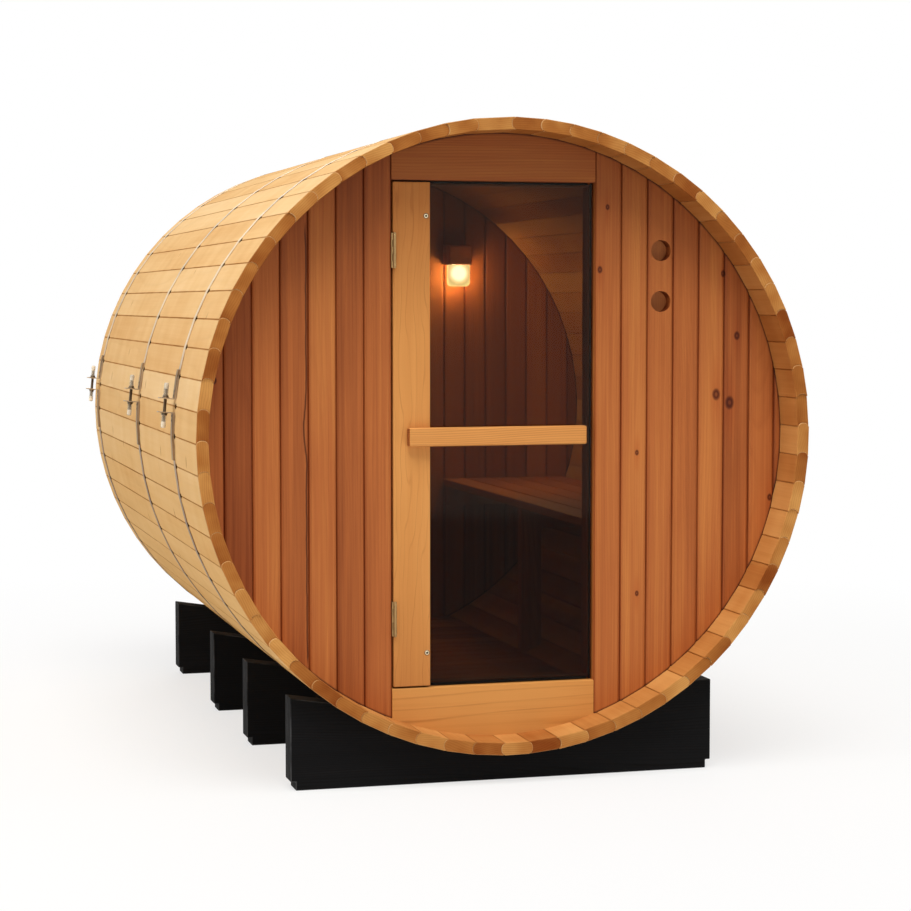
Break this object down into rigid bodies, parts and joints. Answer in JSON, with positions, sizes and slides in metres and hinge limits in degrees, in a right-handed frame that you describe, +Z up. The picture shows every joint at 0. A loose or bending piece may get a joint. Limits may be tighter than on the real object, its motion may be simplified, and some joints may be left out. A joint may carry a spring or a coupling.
{
  "type": "barrel sauna",
  "caption": "Barrel-shaped outdoor sauna of lengthwise timber staves on black cradles, with steel bands and a hinged glass door in its round front wall.",
  "frame": {"origin": "on the ground, below the barrel's axis, in the middle of the front cradle's sole", "axes": "+Y along the barrel from the front rim to the back, +Z up, +X to the right of someone facing the door"},
  "size_m": [1.8767, 2.44, 1.9162],
  "materials": {
    "stave_wood": "clear-oiled pale pine staves with orange-brown end grain",
    "wall_wood": "reddish-brown stained tongue-and-groove boards, satin",
    "header_wood": "darker brown stained board, satin",
    "frame_wood": "planed pine, oiled",
    "door_wood": "light orange-brown oiled pine, satin",
    "door_glass": "tinted toughened glass",
    "hinge_metal": "brass-plated steel, slightly dull",
    "floor_wood": "planed pine boards",
    "bench_wood": "planed pale softwood slats",
    "lamp_hood": "dark stained hood",
    "lamp_glass": "frosted white glass, lit from inside",
    "cradle_wood": "black-stained softwood, grey where worn",
    "band_steel": "stainless strap, bright",
    "tensioner_steel": "zinc-plated rod and nuts"
  },
  "bodies": {
    "sauna": {"barrel_wall_01": "stave_wood", "barrel_wall_02": "stave_wood", "barrel_wall_03": "stave_wood", "barrel_wall_04": "stave_wood", "barrel_wall_05": "stave_wood", "barrel_wall_06": "stave_wood", "barrel_wall_07": "stave_wood", "barrel_wall_08": "stave_wood", "barrel_wall_09": "stave_wood", "barrel_wall_10": "stave_wood", "barrel_wall_11": "stave_wood", "barrel_wall_12": "stave_wood", "barrel_wall_13": "stave_wood", "front_wall_left": "wall_wood", "front_wall_right": "wall_wood", "back_wall": "wall_wood", "door_header": "header_wood", "door_sill": "door_wood", "door_frame": "frame_wood", "hinge_wall_leaves": "hinge_metal", "vent_cover": "frame_wood", "floor_boards": "floor_wood", "floor_joists": "floor_wood", "bench_slats": "bench_wood", "bench_supports": "bench_wood", "lamp_hood": "lamp_hood", "lamp_glass": "lamp_glass", "cradle_1": "cradle_wood", "cradle_2": "cradle_wood", "cradle_3": "cradle_wood", "cradle_4": "cradle_wood", "band_front": "band_steel", "tensioner_front": "tensioner_steel", "band_middle": "band_steel", "tensioner_middle": "tensioner_steel", "band_rear": "band_steel", "tensioner_rear": "tensioner_steel"},
    "door": {"door_stile": "door_wood", "door_glass": "door_glass", "door_handle": "door_wood", "hinge_door_leaves": "hinge_metal"}
  },
  "joints": [
    {"name": "door_hinge", "type": "hinge", "parent": "sauna", "child": "door", "pos_m": [-0.3195, 0.009, 1], "axis": [0, 0, -1], "range_deg": [0, 110]}
  ]
}
